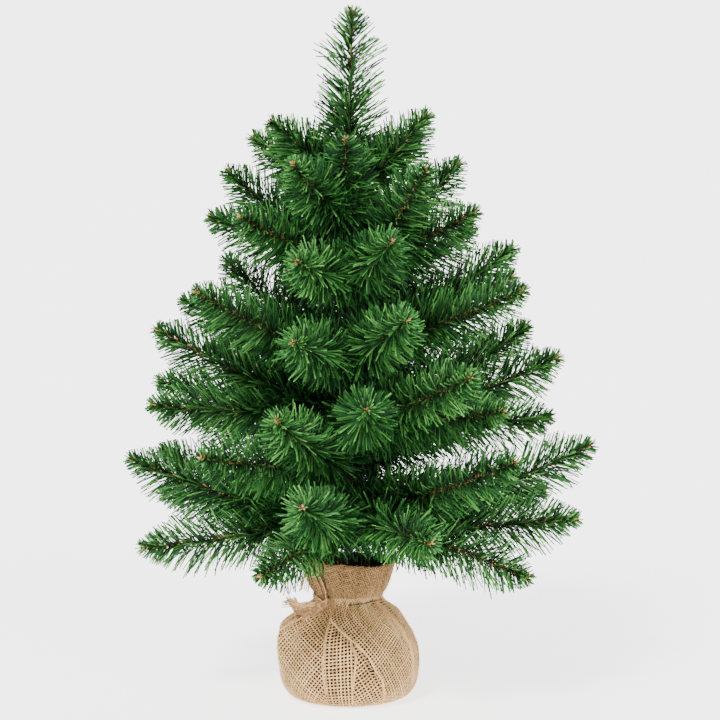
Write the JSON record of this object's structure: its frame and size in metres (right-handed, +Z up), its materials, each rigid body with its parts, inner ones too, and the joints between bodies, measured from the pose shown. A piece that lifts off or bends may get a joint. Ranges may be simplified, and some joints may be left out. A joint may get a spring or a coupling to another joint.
{
  "type": "artificial tabletop tree",
  "caption": "Small artificial evergreen with hinged wire branches of plastic needles on a steel trunk, standing in a weighted burlap sack tied at its neck.",
  "frame": {"origin": "centre of the sack's flat underside, on the trunk's axis", "axes": "+Z up along the trunk, -Y towards the front where the cloth knot is, +X to the right seen from the front"},
  "size_m": [0.4042, 0.3663, 0.599],
  "materials": {
    "burlap": "matte",
    "dark_thread": "matte",
    "tub_plastic": "matte",
    "cement": "matte",
    "socket_plastic": "matte",
    "rod_steel": "satin",
    "trunk_tape": "satin",
    "tie_wire": "satin",
    "branch_wire": "satin",
    "needles": "satin"
  },
  "bodies": {
    "base": {"burlap_sack": "burlap", "neck_binding": "dark_thread", "burlap_knot": "burlap", "weight_tub": "tub_plastic", "weight_block": "cement", "trunk_socket": "socket_plastic", "trunk_rod": "rod_steel", "trunk_tape": "trunk_tape", "branch_ties": "tie_wire", "branch_tails": "branch_wire"},
    "branch_01": {"branch_01_wire": "branch_wire", "branch_01_needles": "needles"},
    "branch_02": {"branch_02_wire": "branch_wire", "branch_02_needles": "needles"},
    "branch_03": {"branch_03_wire": "branch_wire", "branch_03_needles": "needles"},
    "branch_04": {"branch_04_wire": "branch_wire", "branch_04_needles": "needles"},
    "branch_05": {"branch_05_wire": "branch_wire", "branch_05_needles": "needles"},
    "branch_06": {"branch_06_wire": "branch_wire", "branch_06_needles": "needles"},
    "branch_07": {"branch_07_wire": "branch_wire", "branch_07_needles": "needles"},
    "branch_08": {"branch_08_wire": "branch_wire", "branch_08_needles": "needles"},
    "branch_09": {"branch_09_wire": "branch_wire", "branch_09_needles": "needles"},
    "branch_10": {"branch_10_wire": "branch_wire", "branch_10_needles": "needles"},
    "branch_11": {"branch_11_wire": "branch_wire", "branch_11_needles": "needles"},
    "branch_12": {"branch_12_wire": "branch_wire", "branch_12_needles": "needles"},
    "branch_13": {"branch_13_wire": "branch_wire", "branch_13_needles": "needles"},
    "branch_14": {"branch_14_wire": "branch_wire", "branch_14_needles": "needles"},
    "branch_15": {"branch_15_wire": "branch_wire", "branch_15_needles": "needles"},
    "branch_16": {"branch_16_wire": "branch_wire", "branch_16_needles": "needles"},
    "branch_17": {"branch_17_wire": "branch_wire", "branch_17_needles": "needles"},
    "branch_18": {"branch_18_wire": "branch_wire", "branch_18_needles": "needles"},
    "branch_19": {"branch_19_wire": "branch_wire", "branch_19_needles": "needles"},
    "branch_20": {"branch_20_wire": "branch_wire", "branch_20_needles": "needles"},
    "branch_21": {"branch_21_wire": "branch_wire", "branch_21_needles": "needles"},
    "branch_22": {"branch_22_wire": "branch_wire", "branch_22_needles": "needles"},
    "branch_23": {"branch_23_wire": "branch_wire", "branch_23_needles": "needles"},
    "branch_24": {"branch_24_wire": "branch_wire", "branch_24_needles": "needles"},
    "leader": {"leader_wire": "branch_wire", "leader_needles": "needles"}
  },
  "joints": [
    {"name": "branch_01_bend", "type": "hinge", "parent": "base", "child": "branch_01", "pos_m": [0.00473, 0.00127, 0.447], "axis": [0.2588, -0.9659, 0], "range_deg": [-25, 23]},
    {"name": "branch_02_bend", "type": "hinge", "parent": "base", "child": "branch_02", "pos_m": [-0.00487, 0.00051, 0.447], "axis": [0.1045, 0.9945, 0], "range_deg": [-25, 35]},
    {"name": "branch_03_bend", "type": "hinge", "parent": "base", "child": "branch_03", "pos_m": [-0.0011, 0.00477, 0.44], "axis": [0.9744, 0.225, 0], "range_deg": [-25, 23]},
    {"name": "branch_04_bend", "type": "hinge", "parent": "base", "child": "branch_04", "pos_m": [-0.00127, -0.00473, 0.42], "axis": [-0.9659, 0.2588, 0], "range_deg": [-25, 34]},
    {"name": "branch_05_bend", "type": "hinge", "parent": "base", "child": "branch_05", "pos_m": [0.00017, 0.0049, 0.395], "axis": [0.9994, -0.0349, 0], "range_deg": [-25, 16]},
    {"name": "branch_06_bend", "type": "hinge", "parent": "base", "child": "branch_06", "pos_m": [-0.00475, -0.00119, 0.385], "axis": [-0.2419, 0.9703, 0], "range_deg": [-25, 24]},
    {"name": "branch_07_bend", "type": "hinge", "parent": "base", "child": "branch_07", "pos_m": [0.00466, -0.00151, 0.38], "axis": [-0.309, -0.9511, 0], "range_deg": [-25, 18]},
    {"name": "branch_08_bend", "type": "hinge", "parent": "base", "child": "branch_08", "pos_m": [-0.00009, -0.0049, 0.365], "axis": [-0.9998, 0.0175, 0], "range_deg": [-25, 33]},
    {"name": "branch_09_bend", "type": "hinge", "parent": "base", "child": "branch_09", "pos_m": [0.00184, 0.00454, 0.345], "axis": [0.9272, -0.3746, 0], "range_deg": [-25, 26]},
    {"name": "branch_10_bend", "type": "hinge", "parent": "base", "child": "branch_10", "pos_m": [0.00483, -0.00085, 0.31], "axis": [-0.1736, -0.9848, 0], "range_deg": [-25, 25]},
    {"name": "branch_11_bend", "type": "hinge", "parent": "base", "child": "branch_11", "pos_m": [-0.00488, 0.00043, 0.3], "axis": [0.0872, 0.9962, 0], "range_deg": [-19, 26]},
    {"name": "branch_12_bend", "type": "hinge", "parent": "base", "child": "branch_12", "pos_m": [0, -0.0049, 0.3], "axis": [-1, 0, 0], "range_deg": [-25, 24]},
    {"name": "branch_13_bend", "type": "hinge", "parent": "base", "child": "branch_13", "pos_m": [-0.00017, 0.0049, 0.298], "axis": [0.9994, 0.0349, 0], "range_deg": [-22, 14]},
    {"name": "branch_14_bend", "type": "hinge", "parent": "base", "child": "branch_14", "pos_m": [0.00017, 0.0049, 0.252], "axis": [0.9994, -0.0349, 0], "range_deg": [-18, 14]},
    {"name": "branch_15_bend", "type": "hinge", "parent": "base", "child": "branch_15", "pos_m": [-0.00489, 0.00026, 0.25], "axis": [0.0523, 0.9986, 0], "range_deg": [-25, 16]},
    {"name": "branch_16_bend", "type": "hinge", "parent": "base", "child": "branch_16", "pos_m": [0.0023, -0.00433, 0.243], "axis": [-0.8829, -0.4695, 0], "range_deg": [-19, 35]},
    {"name": "branch_17_bend", "type": "hinge", "parent": "base", "child": "branch_17", "pos_m": [0.00483, 0.00085, 0.235], "axis": [0.1736, -0.9848, 0], "range_deg": [-25, 26]},
    {"name": "branch_18_bend", "type": "hinge", "parent": "base", "child": "branch_18", "pos_m": [-0.00252, -0.0042, 0.205], "axis": [-0.8572, 0.515, 0], "range_deg": [-25, 18]},
    {"name": "branch_19_bend", "type": "hinge", "parent": "base", "child": "branch_19", "pos_m": [-0.00026, 0.00489, 0.2], "axis": [0.9986, 0.0523, 0], "range_deg": [-25, 15]},
    {"name": "branch_20_bend", "type": "hinge", "parent": "base", "child": "branch_20", "pos_m": [0.00281, -0.00401, 0.165], "axis": [-0.8192, -0.5736, 0], "range_deg": [-25, 12]},
    {"name": "branch_21_bend", "type": "hinge", "parent": "base", "child": "branch_21", "pos_m": [-0.0049, 0, 0.155], "axis": [0, 1, 0], "range_deg": [-25, 16]},
    {"name": "branch_22_bend", "type": "hinge", "parent": "base", "child": "branch_22", "pos_m": [-0.00168, -0.0046, 0.155], "axis": [-0.9397, 0.342, 0], "range_deg": [-25, 35]},
    {"name": "branch_23_bend", "type": "hinge", "parent": "base", "child": "branch_23", "pos_m": [0.00473, -0.00127, 0.15], "axis": [-0.2588, -0.9659, 0], "range_deg": [-25, 27]},
    {"name": "branch_24_bend", "type": "hinge", "parent": "base", "child": "branch_24", "pos_m": [0, 0.0049, 0.15], "axis": [1, 0, 0], "range_deg": [-25, 23]},
    {"name": "leader_bend", "type": "hinge", "parent": "base", "child": "leader", "pos_m": [0, 0, 0.4556], "axis": [0, 1, 0], "range_deg": [-25, 22]}
  ]
}
